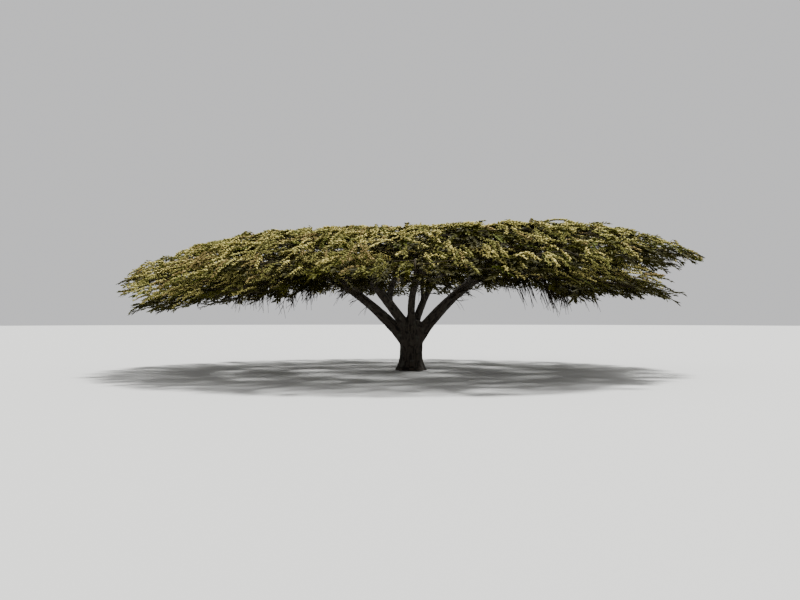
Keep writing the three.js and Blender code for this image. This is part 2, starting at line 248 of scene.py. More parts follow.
def line_frames(line):
    """Two directions square to a line at each of its points, which turn as little as they can."""
    ways = unit(np.gradient(line, axis=0))
    first = np.empty_like(ways)
    side = unit(np.cross(ways[0], [0.3, 0.9, 0.31]))
    for i, way in enumerate(ways):
        side = unit(side - way * (side @ way))
        first[i] = side
    return first, np.cross(ways, first)


def limb_mesh(name, line, sides, rings, radius_at):
    """A closed limb along a line, its radius given by angle and by share of its length."""
    # It starts as an upright column of radius 1 and height 1, with even rings.
    shape = bmesh.new()
    bmesh.ops.create_cone(shape, cap_ends=True, segments=sides, radius1=1, radius2=1, depth=1)
    upright = [edge for edge in shape.edges if abs(edge.verts[0].co.z - edge.verts[1].co.z) > 0.5]
    bmesh.ops.subdivide_edges(shape, edges=upright, cuts=rings - 1, use_grid_fill=True)
    mesh = bpy.data.meshes.new(name)
    shape.to_mesh(mesh)
    shape.free()
    points = mesh_points(mesh)
    t = points[:, 2] + 0.5
    angle = np.arctan2(points[:, 1], points[:, 0])
    middle = np.hypot(points[:, 0], points[:, 1])
    first, second = [along_line(ways, t) for ways in line_frames(line)]
    out = first * np.cos(angle)[:, None] + second * np.sin(angle)[:, None]
    radius = radius_at(angle, t) * middle
    set_points(mesh, along_line(line, t) + out * radius[:, None])
    return mesh


def cloudy(nodes, links, scale, detail):
    """A cloudy pattern over the tree."""
    place = nodes.new("ShaderNodeTexCoord")
    clouds = nodes.new("ShaderNodeTexNoise")
    clouds.inputs["Scale"].default_value = scale
    clouds.inputs["Detail"].default_value = detail
    links.new(place.outputs["Object"], clouds.inputs["Vector"])
    return clouds.outputs["Fac"]


def ramp(nodes, links, value, low, low_colour, high, high_colour):
    """A colour that changes from one to another as a value rises from low to high."""
    node = nodes.new("ShaderNodeValToRGB")
    node.color_ramp.elements[0].position = low
    node.color_ramp.elements[0].color = (*low_colour, 1)
    node.color_ramp.elements[1].position = high
    node.color_ramp.elements[1].color = (*high_colour, 1)
    links.new(value, node.inputs["Fac"])
    return node.outputs["Color"]


def rough_finish(name, roughness, shine):
    """A new rough material, with its nodes, links and shader."""
    material = bpy.data.materials.new(name)
    material.use_nodes = True
    shader = material.node_tree.nodes["Principled BSDF"]
    shader.inputs["Roughness"].default_value = roughness
    shader.inputs["Specular IOR Level"].default_value = shine
    return material, material.node_tree.nodes, material.node_tree.links, shader


def bark_finish():
    """Furrowed grey-brown bark: dark in the furrows, paler on the ridges, with lichen on some."""
    material, nodes, links, shader = rough_finish("furrowed_bark", 0.92, 0.25)
    relief = nodes.new("ShaderNodeAttribute")
    relief.attribute_name = "relief"
    furrowed = ramp(nodes, links, relief.outputs["Fac"], 0.1, BARK_FURROW, 0.95, BARK_RIDGE)
    patches = cloudy(nodes, links, 5.5, 5.0)
    lichened = nodes.new("ShaderNodeMix")
    lichened.data_type = "RGBA"
    where = ramp(nodes, links, patches, 0.56, (0, 0, 0), 0.68, (0.75, 0.75, 0.75))
    links.new(where, lichened.inputs["Factor"])
    links.new(furrowed, lichened.inputs["A"])
    lichened.inputs["B"].default_value = (*LICHEN, 1)
    links.new(lichened.outputs["Result"], shader.inputs["Base Color"])
    bump = nodes.new("ShaderNodeBump")
    bump.inputs["Strength"].default_value = 0.6
    bump.inputs["Distance"].default_value = 0.006
    links.new(cloudy(nodes, links, 60.0, 6.0), bump.inputs["Height"])
    links.new(bump.outputs["Normal"], shader.inputs["Normal"])
    return material


def keep_relief(mesh, relief):
    """Stores the relief, from 0 in a furrow to 1 on a ridge, for the bark's colours."""
    layer = mesh.attributes.new("relief", "FLOAT", "POINT")
    layer.data.foreach_set("value", np.clip(1 + relief, 0, 1).astype(np.float32))


def new_object(name, data):
    """A new object in the scene."""
    thing = bpy.data.objects.new(name, data)
    bpy.context.scene.collection.objects.link(thing)
    return thing


def new_piece(name, mesh, material):
    """A finished piece of the tree."""
    piece = new_object(name, mesh)
    mesh.materials.clear()
    mesh.materials.append(material)
    mesh.shade_smooth()
    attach(piece, "root")
    return piece


def trunk_radius(angle, t):
    """The trunk's radius with its ribbed foot."""
    flare = FLARE["out"] * np.maximum(0, 1 - t * TRUNK["height"] / FLARE["height"]) ** 2
    rib = 1 + FLARE["rib_depth"] * np.cos(FLARE["ribs"] * angle)
    return mix(TRUNK["radius"], TRUNK["top"], smooth(t, TRUNK["narrows"], 1)) + flare * rib


lean = TRUNK["lean"] * LINE_SHARES**2
trunk_line = np.column_stack([lean, 0 * LINE_SHARES, TRUNK["height"] * LINE_SHARES])
cores = [limb_mesh("trunk_core", trunk_line, TRUNK_SIDES, TRUNK_RINGS, trunk_radius)]
axes = [(trunk_line, math.tau * TRUNK["radius"], TRUNK_SEED)]
for i, leader in enumerate(LEADERS):
    leaves = math.radians(leader["leaves"])
    rise = math.radians(leader["rise"])
    flat = math.cos(rise)
    way = np.array([math.cos(leaves) * flat, math.sin(leaves) * flat, math.sin(rise)])
    fork = UP * leader["from"]
    start = fork + way * STUB["length"]
    shelf = make_shelf("rim", leader["reaches"], LEADER_SHELF_WIDTH, 0.0, TIERS["rim"]["outer"])
    inner = TIERS["rim"]["inner"]
    end = on_shelf(shelf, inner, shelf["azimuth"])
    line = arc(start, way, end, shelf_way(shelf, inner), LEADER_BEND)
    straight = np.array([fork + way * run for run in np.linspace(0, STUB["length"], 20)[:-1]])
    whole = spaced(np.vstack([straight, line]), 4 * LINE_POINTS)
    leader["shelf"] = shelf
    leader["line"] = line
    leader["whole"] = whole
    leader["radii"] = mix(leader["radius"], LEADER_TIP, LINE_SHARES**LEADER_TAPER)
    leader["seed"] = 100 + 10 * i
    stump = spaced(whole[: round(4 * LINE_POINTS * STUMP_RUN / line_length(whole))], LINE_POINTS)
    swollen = leader["radius"] * STUB["swell"]
    at_end = (STUMP_RUN - STUB["length"]) / line_length(line)
    end_radius = np.interp(at_end, LINE_SHARES, leader["radii"])

    def stump_radius(angle, t, swollen=swollen, radius=leader["radius"], end_radius=end_radius):
        run = t * STUMP_RUN
        beyond = (run - STUB["length"]) / (STUMP_RUN - STUB["length"])
        root = mix(swollen, radius, np.clip(run / STUB["length"], 0, 1))
        tip = mix(radius, end_radius, np.clip(beyond, 0, 1))
        sinks = STUMP_SINKS["depth"] * smooth(t, STUMP_SINKS["from"], 1)
        return np.where(run < STUB["length"], root, tip) - sinks

    cores.append(limb_mesh(f"stump_{leader['name']}", stump, STUMP_SIDES, STUMP_RINGS, stump_radius))
    axes.append((stump, math.tau * leader["radius"], leader["seed"]))

shape = bmesh.new()
for core in cores:
    shape.from_mesh(core)
    bpy.data.meshes.remove(core)
rough = bpy.data.meshes.new("trunk_rough")
shape.to_mesh(rough)
shape.free()
maker = new_object("trunk_maker", rough)
fuse = maker.modifiers.new("fuse", "REMESH")
fuse.mode = "VOXEL"
fuse.voxel_size = SKIN_VOXEL
fused = maker.evaluated_get(bpy.context.evaluated_depsgraph_get())
skin = bpy.data.meshes.new_from_object(fused)
bpy.data.objects.remove(maker)
bpy.data.meshes.remove(rough)

shape = bmesh.new()
shape.from_mesh(skin)
for _ in range(CROTCH_ROUNDS):
    bmesh.ops.smooth_vert(
        shape, verts=shape.verts, factor=0.5, use_axis_x=True, use_axis_y=True, use_axis_z=True
    )
# The rounded foot is cut off, and its rim is drawn down to the ground and closed.
everything = shape.verts[:] + shape.edges[:] + shape.faces[:]
bmesh.ops.bisect_plane(
    shape, geom=everything, plane_co=(0, 0, FOOT_CUT), plane_no=(0, 0, -1), clear_outer=True
)
rim = [edge for edge in shape.edges if edge.is_boundary]
foot = bmesh.ops.extrude_edge_only(shape, edges=rim)["geom"]
for vert in [item for item in foot if isinstance(item, bmesh.types.BMVert)]:
    vert.co.z = 0
bmesh.ops.holes_fill(shape, edges=[edge for edge in shape.edges if edge.is_boundary])
bmesh.ops.recalc_face_normals(shape, faces=shape.faces)
shape.to_mesh(skin)
shape.free()


def near_axis(points, line):
    """For each point, its distance from a line, and its run along and angle round that line."""
    first, second = line_frames(line)
    best = np.full(len(points), math.inf)
    index = np.zeros(len(points), int)
    for k, centre in enumerate(line):
        away = np.linalg.norm(points - centre, axis=1)
        closer = away < best
        best[closer] = away[closer]
        index[closer] = k
    off = points - line[index]
    angle = np.arctan2((off * second[index]).sum(axis=1), (off * first[index]).sum(axis=1))
    ways = np.cross(first, second)
    step = line_length(line) / (len(line) - 1)
    run = index * step + (off * ways[index]).sum(axis=1)
    return best, run, angle


points = mesh_points(skin)
normals = np.empty(len(skin.vertices) * 3, np.float32)
skin.vertices.foreach_get("normal", normals)
normals = normals.reshape(-1, 3)
reliefs = []
nearness = []
for line, girth, seed in axes:
    away, run, angle = near_axis(points, line)
    reliefs.append(bark_relief(angle, run, girth, seed))
    nearness.append(away / (girth / math.tau))
weight = np.exp(-(np.array(nearness) - np.min(nearness, axis=0)) / BARKS_BLEND)
relief = (np.array(reliefs) * weight).sum(axis=0) / weight.sum(axis=0)
grows = smooth(points[:, 2], 0.0, BARK_FROM_GROUND)
set_points(skin, points + normals * (relief * grows * FURROW["depth"])[:, None])
keep_relief(skin, relief)
bark = bark_finish()
trunk = new_piece("trunk_bark", skin, bark)
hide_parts("trunk")


# THE BOUGHS
# Each bough is a single limb under the same bark, with shallower furrows as it thins. A leading
# bough runs on out of its stump, and a side bough grows out of its parent through a swollen
# collar. All end about as thick as the stem of the foliage that they carry.
RING_STEP = 0.022
LEADER_SIDES = 36
LEADER_BEGINS = 0.8 * STUB["length"]
SIDE_SIDES = 20
COLLAR = {"swell": 0.35, "length": 0.12}
FURROW_SHARE = 0.06
KNOB = {"swell": 0.06, "length": 0.35}

# A side bough has a parent, the share of the parent's length where it leaves, and its shelf's
# tier, azimuth and width in degrees. A few shelves droop, or end short of their tier's rim.
SIDES = [
    ("back_right", 0.1, "top", 45, 90),
    ("back_left", 0.1, "top", 135, 90),
    ("front_left", 0.1, "top", 225, 90),
    ("front_right", 0.1, "top", 315, 90),
    ("right", 0.22, "middle", 26, 51),
    ("back_right", 0.22, "middle", 77, 51),
    ("back_left", 0.22, "middle", 129, 51),
    ("left", 0.22, "middle", 180, 51),
    ("front_left", 0.22, "middle", 231, 51),
    ("front_right", 0.22, "middle", 283, 51),
    ("right", 0.28, "middle", 334, 51),
    ("right", 0.42, "rim", 30, 30),
    ("back_right", 0.42, "rim", 90, 30),
    ("back_left", 0.42, "rim", 150, 30),
    ("left", 0.42, "rim", 210, 30),
    ("front_left", 0.42, "rim", 270, 30),
    ("front_right", 0.42, "rim", 330, 30),
    ("left", 0.6, "skirt", 163, 34),
    ("left", 0.66, "skirt", 198, 34),
    ("front_left", 0.6, "skirt", 231, 32),
    ("front_right", 0.6, "skirt", 317, 31),
    ("right", 0.6, "skirt", 349, 31),
    ("right", 0.66, "skirt", 20, 28),
]
DROOPS = {"rim_030": 0.3, "rim_150": 0.45, "rim_210": 0.45, "rim_330": 0.38, "skirt_020": -0.25}
ENDS_AT = {"rim_330": 0.9, "skirt_349": 0.87}
SIDE_TIP = 0.027
SIDE_ROOT_SHARE = 0.68
SIDE_TAPER = 0.7
SIDE_BEND = 0.3


def line_way(line, t):
    """Directions of a line at shares of its length."""
    step = 0.5 / (len(line) - 1)
    return unit(along_line(line, t + step) - along_line(line, t - step))


def barked(bough, radius, angle, run):
    """A bough's radius with slow swellings and with its bark, shallower where the bough is thin."""
    knobs = patchwork(0 * run, run / KNOB["length"], 4, bough["seed"] + 5) - 0.5
    radius = radius * (1 + KNOB["swell"] * knobs)
    bough["relief"] = bark_relief(angle, run, math.tau * bough["radii"][0], bough["seed"])
    return radius + bough["relief"] * np.minimum(FURROW["depth"], FURROW_SHARE * radius)


def grow_bough(bough, line, sides, radius_at):
    """A bough under its bark, in the place of its plain limb."""
    name = f"bough_{bough['name']}_bark"
    mesh = limb_mesh(name, line, sides, round(line_length(line) / RING_STEP), radius_at)
    keep_relief(mesh, bough["relief"])
    piece = new_piece(name, mesh, bark)
    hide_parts(f"bough_{bough['name']}")


for leader in LEADERS:
    whole = leader["whole"]
    line = spaced(whole[round(len(whole) * LEADER_BEGINS / line_length(whole)) :], 4 * LINE_POINTS)

    def leader_radius(angle, t, leader=leader, length=line_length(line)):
        run = LEADER_BEGINS + t * length
        share = np.clip((run - STUB["length"]) / line_length(leader["line"]), 0, 1)
        radius = mix(leader["radius"], LEADER_TIP, share**LEADER_TAPER)
        return barked(leader, radius, angle, run)

    grow_bough(leader, line, LEADER_SIDES, leader_radius)

boughs = [*LEADERS]
for parent_name, at, tier, azimuth, width in SIDES:
    parent = next(leader for leader in LEADERS if leader["name"] == parent_name)
    side = {"name": f"{tier}_{azimuth:03d}", "seed": 300 + 10 * (len(boughs) - len(LEADERS))}
    inner = TIERS[tier]["inner"]
    outer = ENDS_AT.get(side["name"], TIERS[tier]["outer"])
    shelf = make_shelf(tier, azimuth, width, DROOPS.get(side["name"], 0.0), outer)
    start = along_line(parent["line"], at)
    end = on_shelf(shelf, inner, shelf["azimuth"])
    leaving = unit(unit(end - start) + line_way(parent["line"], at))
    root = np.interp(at, LINE_SHARES, parent["radii"]) * SIDE_ROOT_SHARE
    side["shelf"] = shelf
    side["line"] = arc(start, leaving, end, shelf_way(shelf, inner), SIDE_BEND)
    side["radii"] = mix(root, SIDE_TIP, LINE_SHARES**SIDE_TAPER)

    def side_radius(angle, t, side=side):
        run = t * line_length(side["line"])
        radius = np.interp(t, LINE_SHARES, side["radii"])
        radius = radius * (1 + COLLAR["swell"] * np.exp(-run / COLLAR["length"]))
        return barked(side, radius, angle, run)

    grow_bough(side, side["line"], SIDE_SIDES, side_radius)
    boughs.append(side)


# THE TWIGS OF THE CROWN
# A stem runs on from each bough's tip along its shelf, with branches by turns to either side. From
# these grow sprigs, spread evenly through the shelf, and each ends in a fan of slender twigs that
# rise a little and then arch over. The wood is young and hard, in dull grey-brown bark.
CLEARANCE = 0.0003
STEM = {"root": 0.034, "tip": 0.012, "reaches": 0.86, "rings": 18, "sides": 8}
BRANCHES = {"top": 10, "middle": 10, "rim": 8, "skirt": 8}
BRANCH = {"root": 0.017, "tip": 0.007, "first": 0.02, "last": 0.95, "rings": 9, "sides": 5}
BRANCH_OUT = (0.05, 0.12)
BRANCH_FURTHER = 1.3
BRANCH_SHORT_OF_RIM = 0.06
BRANCH_SIDE = (0.5, 0.8)
BRANCH_NARROWS = {"from": 0.75, "to": 0.55}
BRANCH_LIFTS = (-0.4, 0.45)
BRANCH_LIFT_SHIFT = (-0.2, 0.2)
BRANCH_BEND = 0.36
BRANCH_WAY = {"along": 0.8, "lift": 0.25, "ahead": 0.6, "sinks": 0.12}
SPRIG = {"root": 0.008, "tip": 0.0045, "rings": 5, "sides": 4}
SPRIG_SHORT_OF_RIM = 0.035
SPRIG_BEHIND_ROOT = 0.05
SPRIG_AREA = {"top": 0.13, "middle": 0.17, "rim": 0.2, "skirt": 0.24}
SPRIG_TRIES = 14
SPRIG_APART = [1, 1, 1.6]
SPRIG_COST = {"margin": 0.15, "beyond": 2.5, "close": 2, "closest": 0.22}
SPRIG_WIDE = 1.02
SPRIG_WAY = {"towards": 0.9, "ahead": 0.7, "outward": 0.8, "sinks": 0.1}
SPRIG_BEND = 0.34
LAYERS = {
    "top": (0.6, -0.4, 0.1, -1.1),
    "middle": (0.7, -0.5, 0.1, -1.2),
    "rim": (0.7, -0.5, 0.1, -1.1),
    "skirt": (1.2, 0.5, -0.1, -0.6),
}
LAYER_SHIFT = (-0.22, 0.22)
RIM_THINS = {"from": 0.8, "to": 0.45}
TWIG = {"root": 0.006, "tip": 0.002, "every": 0.125, "most": 5, "rings": 4, "sides": 3}
TWIG_AT = {"share": 0.8, "shift": (-0.03, 0.03), "least": 0.05}
TWIG_TAPER = 0.8
TWIG_LENGTH = (0.42, 0.72)
TWIG_TURN = (24, 62)
TWIG_END_TURN = (-0.3, 0.3)
TWIG_BENDS = {"outward": 0.3, "aside": (-0.35, 0.35)}
TWIG_OUTWARD = 0.7
TWIG_RISE = {"top": (2, 22), "middle": (-4, 20), "rim": (-8, 16), "skirt": (-14, 8)}
TWIG_FALL = {"top": (-24, -2), "middle": (-36, -8), "rim": (-42, -10), "skirt": (-42, -10)}
STRAY = {"share": 0.03, "rise": 18, "longer": 1.25, "over": 0.1}
STANDS_OVER = 0.02
TWIG_FIT = {"tries": 8, "past_rim": 0.03, "shorter": 0.85, "rise": 8, "fall": 5}
SWEEP = {"aside": 2.2, "forward": 0.6, "parting": 2.4, "full_at": 0.25}
# How freely blossom comes out by tier and by bough; the leaves' painted shade follows it too.
BLOOM = {"top": 1.1, "middle": 0.9, "rim": 0.9, "skirt": 0.5}
BOUGH_BLOOM = {
    "right": 0.65,
    "left": 1.2,
    "front_left": 1.2,
    "front_right": 0.75,
    "middle_180": 1.35,
    "middle_231": 1.35,
    "middle_334": 0.5,
    "rim_210": 1.4,
    "rim_330": 0.4,
    "skirt_317": 0.2,
    "skirt_349": 0.2,
    "skirt_020": 0.2,
}
EDGE = 0.999
GROUPS = ["top", "middle_left", "middle_right", "rim_left", "rim_right", "skirt"]
SEED = 11


def joined_mesh(name, points, faces):
    """One mesh of many small things, its faces given as rows of point numbers."""
    mesh = bpy.data.meshes.new(name)
    mesh.vertices.add(len(points))
    mesh.vertices.foreach_set("co", points.astype(np.float32).ravel())
    mesh.loops.add(faces.size)
    mesh.loops.foreach_set("vertex_index", faces.astype(np.int32).ravel())
    mesh.polygons.add(len(faces))
    mesh.polygons.foreach_set("loop_start", np.arange(0, faces.size, faces.shape[1], dtype=np.int32))
    mesh.update(calc_edges=True)
    return mesh


def twig_tubes(lines, radii, sides):
    """The points and triangles of many closed twigs, each line given from root to tip."""
    count, rings = lines.shape[:2]
    ways = unit(np.gradient(lines, axis=1))
    first = unit(np.cross(ways, [0.31, 0.2, 0.93]))
    second = np.cross(ways, first)
    turn = np.arange(sides) / sides * math.tau
    out = first[:, :, None] * np.cos(turn)[:, None] + second[:, :, None] * np.sin(turn)[:, None]
    skin = lines[:, :, None] + out * np.asarray(radii)[None, :, None, None]
    points = np.concatenate([skin.reshape(count, -1, 3), lines[:, [0, -1]]], axis=1)
    faces = []
    last = (rings - 1) * sides
    for k in range(sides):
        after = (k + 1) % sides
        faces += [[after, k, rings * sides], [last + k, last + after, rings * sides + 1]]
        for low in range(0, last, sides):
            high = low + sides
            faces += [[low + k, low + after, high + after], [low + k, high + after, high + k]]
    numbers = np.array(faces)[None] + np.arange(count)[:, None, None] * points.shape[1]
    return points.reshape(-1, 3), numbers.reshape(-1, 3)


def pitched(headings, degrees):
    """Level headings turned up or down by an angle."""
    angle = np.radians(degrees)[..., None]
    return headings * np.cos(angle) + UP * np.sin(angle)


def level(ways):
    """Directions laid level."""
    return unit(ways * [1, 1, 0])


def place_of(points):
    """The share of the reach and the azimuth at which points lie."""
    azimuth = np.arctan2(points[..., 1], points[..., 0])
    return np.hypot(points[..., 0], points[..., 1]) / around(REACH, azimuth), azimuth


def thickness(shelf, share):
    """Half the thickness of a shelf, which thins towards its rim."""
    towards_rim = smooth(share, RIM_THINS["from"] * shelf["outer"], shelf["outer"])
    return TIERS[shelf["tier"]]["half"] * mix(1, RIM_THINS["to"], towards_rim)


def grow_branches(shelf, stem, dice):
    """The branches of one shelf, each as a line of even points."""
    count = BRANCHES[shelf["tier"]]
    lines = []
    for i in range(count):
        hand = 1 if i % 2 else -1
        at = mix(BRANCH["first"], BRANCH["last"], i / (count - 1))
        base = along_line(stem, at)
        narrows = mix(1, BRANCH_NARROWS["to"], smooth(at, BRANCH_NARROWS["from"], 1))
        wide = dice.uniform(*BRANCH_SIDE) * narrows
        out = dice.uniform(*BRANCH_OUT) * mix(1, BRANCH_FURTHER, at)
        tip_share = min(place_of(base)[0] + out, shelf["outer"] - BRANCH_SHORT_OF_RIM)
        lift = BRANCH_LIFTS[i // 2 % 2] + dice.uniform(*BRANCH_LIFT_SHIFT)
        tip_azimuth = shelf["azimuth"] + hand * shelf["half_width"] * wide
        tip = on_shelf(shelf, tip_share, tip_azimuth, lift * thickness(shelf, tip_share))
        leaving = line_way(stem, at) * BRANCH_WAY["along"] + unit(tip - base)
        leaving = unit(leaving + UP * BRANCH_WAY["lift"] * np.sign(lift))
        arriving = level(tip - base) * BRANCH_WAY["ahead"] + level(tip)
        arriving = unit(arriving - UP * BRANCH_WAY["sinks"])
        lines.append(spaced(arc(base, leaving, tip, arriving, BRANCH_BEND), BRANCH["rings"]))
    return lines


def sow(shelf, dice):
    """Places spread evenly but irregularly through a shelf, in order from its root to its rim."""
    low = max(TIERS[shelf["tier"]]["inner"] - SPRIG_BEHIND_ROOT, 0.01)
    high = shelf["outer"] - SPRIG_SHORT_OF_RIM
    area = shelf["half_width"] * (high**2 - low**2) * around(REACH, shelf["azimuth"]) ** 2
    placed = np.zeros((0, 3))
    for i in range(round(float(area) / SPRIG_AREA[shelf["tier"]])):
        share = np.sqrt(dice.uniform(low**2, high**2, SPRIG_TRIES))
        azimuth = shelf["azimuth"] + dice.uniform(-1, 1, SPRIG_TRIES) * shelf["half_width"] * SPRIG_WIDE
        layer = LAYERS[shelf["tier"]][i % 4] + dice.uniform(*LAYER_SHIFT)
        found = on_shelf(shelf, share, azimuth, layer * thickness(shelf, share))
        if len(placed):
            apart = np.linalg.norm((found[:, None] - placed[None]) * SPRIG_APART, axis=2).min(axis=1)
            found = found[[apart.argmax()]]
        placed = np.vstack([placed, found[:1]])
    return placed[np.argsort(np.hypot(placed[:, 0], placed[:, 1]))]


def grow_sprig(tip, wood, ways):
    """A sprig to a given tip, from the nearest wood that isn't too near it or further out."""
    apart = np.linalg.norm(wood - tip, axis=1)
    beyond = np.hypot(wood[:, 0], wood[:, 1]) - np.hypot(tip[0], tip[1]) + SPRIG_COST["margin"]
    cost = apart + SPRIG_COST["beyond"] * np.maximum(0, beyond)
    cost = cost + SPRIG_COST["close"] * np.maximum(0, SPRIG_COST["closest"] - apart)
    from_point = cost.argmin()
    base = wood[from_point]
    leaving = unit(ways[from_point] + unit(tip - base) * SPRIG_WAY["towards"])
    arriving = level(tip - base) * SPRIG_WAY["ahead"] + level(tip) * SPRIG_WAY["outward"]
    arriving = unit(arriving - UP * SPRIG_WAY["sinks"])
    return spaced(arc(base, leaving, tip, arriving, SPRIG_BEND), SPRIG["rings"])


def grow_twigs(shelf, line, dice):
    """The twigs along a sprig's outer part: bases, ways at root and tip, lengths, and which stray."""
    length = line_length(line)
    count = int(min(TWIG["most"], max(2, length * TWIG_AT["share"] / TWIG["every"]))) + 1
    at = 1 - np.arange(count) * TWIG["every"] / length + dice.uniform(*TWIG_AT["shift"], count)
    at[0] = 1
    at = np.clip(at, TWIG_AT["least"], 1)
    hand = np.where(np.arange(count) % 2, 1, -1) * dice.choice([-1, 1])
    turn = np.radians(dice.uniform(*TWIG_TURN, count)) * hand
    turn[0] = dice.uniform(*TWIG_END_TURN)
    base = along_line(line, at)
    forward = level(line_way(line, at))
    side = np.cross(UP, forward)
    heading = forward * np.cos(turn)[:, None] + side * np.sin(turn)[:, None]
    aside = np.sign(base[:, 0] + dice.uniform(-1, 1, count) * SWEEP["parting"])
    outward = unit(base * [1, SWEEP["forward"], 0] + aside[:, None] * [SWEEP["aside"], 0, 0])
    lean = TWIG_OUTWARD * smooth(place_of(base)[0], 0, SWEEP["full_at"])[:, None]
    heading = level(heading + outward * lean)
    stray = dice.random(count) < STRAY["share"]
    rise = dice.uniform(*TWIG_RISE[shelf["tier"]], count) + stray * STRAY["rise"]
    fall = dice.uniform(*TWIG_FALL[shelf["tier"]], count) + stray * STRAY["rise"]
    swerve = dice.uniform(*TWIG_BENDS["aside"], count)[:, None]
    bent = level(heading + outward * TWIG_BENDS["outward"] + side * swerve)
    size = dice.uniform(*TWIG_LENGTH, count) * np.where(stray, STRAY["longer"], 1)
    # Twigs that would reach past the rim are shortened, and those that would stand too high sink.
    for _ in range(TWIG_FIT["tries"]):
        root_way = pitched(heading, rise)
        tip_way = pitched(bent, fall)
        tip = base + (root_way + tip_way) * size[:, None] / 2
        share, azimuth = place_of(tip)
        limit = min(shelf["outer"] + TWIG_FIT["past_rim"], EDGE)
        size = np.where(share > limit, size * TWIG_FIT["shorter"], size)
        half_way = base[:, 2] + (0.375 * root_way + 0.125 * tip_way)[:, 2] * size
        over = np.maximum(tip[:, 2], half_way) - crown_top(share, azimuth)
        too_high = over > np.where(stray, STRAY["over"], STANDS_OVER)
        rise = rise - TWIG_FIT["rise"] * too_high
        fall = fall - TWIG_FIT["fall"] * too_high
    return base, root_way, tip_way, size, stray


masses = []
for bough in boughs:
    shelf = bough["shelf"]
    dice = np.random.default_rng(SEED + len(masses))
    inner = TIERS[shelf["tier"]]["inner"]
    way = line_way(bough["line"], 1)
    start = bough["line"][-1] + way * CLEARANCE
    reach = mix(inner, shelf["outer"], STEM["reaches"])
    stem = arc(start, way, on_shelf(shelf, reach, shelf["azimuth"]), shelf_way(shelf, reach), LEADER_BEND)
    branches = grow_branches(shelf, stem, dice)
    lines = [spaced(stem, 30), *[spaced(line, 12) for line in branches]]
    wood = np.vstack(lines)
    ways = np.vstack([unit(np.gradient(line, axis=0)) for line in lines])
    sprigs = []
    twigs = []
    for tip in sow(shelf, dice):
        sprig = grow_sprig(tip, wood, ways)
        wood = np.vstack([wood, sprig[1:]])
        ways = np.vstack([ways, unit(np.gradient(sprig, axis=0))[1:]])
        grown = grow_twigs(shelf, sprig, dice)
        twigs.append((*grown, np.full(len(grown[3]), len(sprigs) + 1000 * len(masses))))
        sprigs.append(sprig)
    half_of_tree = "right" if math.cos(shelf["azimuth"]) > -1e-6 else "left"
    group = shelf["tier"] if shelf["tier"] in GROUPS else f"{shelf['tier']}_{half_of_tree}"
    columns = [np.concatenate(column) for column in zip(*twigs)]
    share, azimuth = place_of(columns[0])
    lift = (columns[0][:, 2] - shelf_height(shelf, share, azimuth)) / TIERS[shelf["tier"]]["half"]
    bloom = np.full(len(lift), BOUGH_BLOOM.get(bough["name"], BLOOM[shelf["tier"]]))
    kinds = ("base", "root_way", "tip_way", "size", "stray", "sprig")
    mass = {"name": f"foliage_{bough['name']}", "group": group, "stem": stem}
    mass["branches"] = branches
    mass["sprigs"] = sprigs
    mass["twigs"] = dict(zip(kinds, columns), lift=lift, bloom=bloom)
    masses.append(mass)


def twig_points(twigs, u):
    """Points at shares u of the length of every twig."""
    u = np.asarray(u)[..., None]
    bend = (twigs["tip_way"] - twigs["root_way"])[:, None]
    away = twigs["root_way"][:, None] * u + bend * u**2 / 2
    return twigs["base"][:, None] + away * twigs["size"][:, None, None]


def twig_ways(twigs, u):
    """Directions at shares u of the length of every twig."""
    u = np.asarray(u)[..., None]
    return unit(twigs["root_way"][:, None] + (twigs["tip_way"] - twigs["root_way"])[:, None] * u)


def twig_finish():
    """Dull grey-brown bark of young wood, a little paler in blotches."""
    material, nodes, links, shader = rough_finish("young_bark", 0.85, 0.08)
    blotches = cloudy(nodes, links, 9.0, 4.0)
    colour = ramp(nodes, links, blotches, 0.35, (0.011, 0.008, 0.003), 0.7, (0.032, 0.024, 0.011))
    links.new(colour, shader.inputs["Base Color"])
    return material


def tapered(sizes):
    """The radii of a twig's rings."""
    return mix(sizes["root"], sizes["tip"], np.linspace(0, 1, sizes["rings"]) ** TWIG_TAPER)


def merged(parts):
    """Several sets of points and faces as one set."""
    before = np.cumsum([0] + [len(points) for points, _ in parts])
    faces = [part[1] + start for part, start in zip(parts, before)]
    return np.concatenate([part[0] for part in parts]), np.concatenate(faces)


young_bark = twig_finish()
grouped = {}
for group in GROUPS:
    members = [mass for mass in masses if mass["group"] == group]
    names = [mass["name"] for mass in members]
    twigs = {key: np.concatenate([mass["twigs"][key] for mass in members]) for key in members[0]["twigs"]}
    grouped[group] = (twigs, names)
    stems = np.array([spaced(mass["stem"], STEM["rings"]) for mass in members])
    branches = np.array([line for mass in members for line in mass["branches"]])
    sprigs = np.array([line for mass in members for line in mass["sprigs"]])
    lines = twig_points(twigs, np.tile(np.linspace(0, 1, TWIG["rings"]), (len(twigs["size"]), 1)))
    points, faces = merged([
        twig_tubes(stems, tapered(STEM), STEM["sides"]),
        twig_tubes(branches, tapered(BRANCH), BRANCH["sides"]),
        twig_tubes(sprigs, tapered(SPRIG), SPRIG["sides"]),
        twig_tubes(lines, tapered(TWIG), TWIG["sides"]),
    ])
    mesh = joined_mesh(f"twigs_{group}", points, faces)
    piece = new_piece(f"twigs_{group}", mesh, young_bark)
    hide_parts(*names)


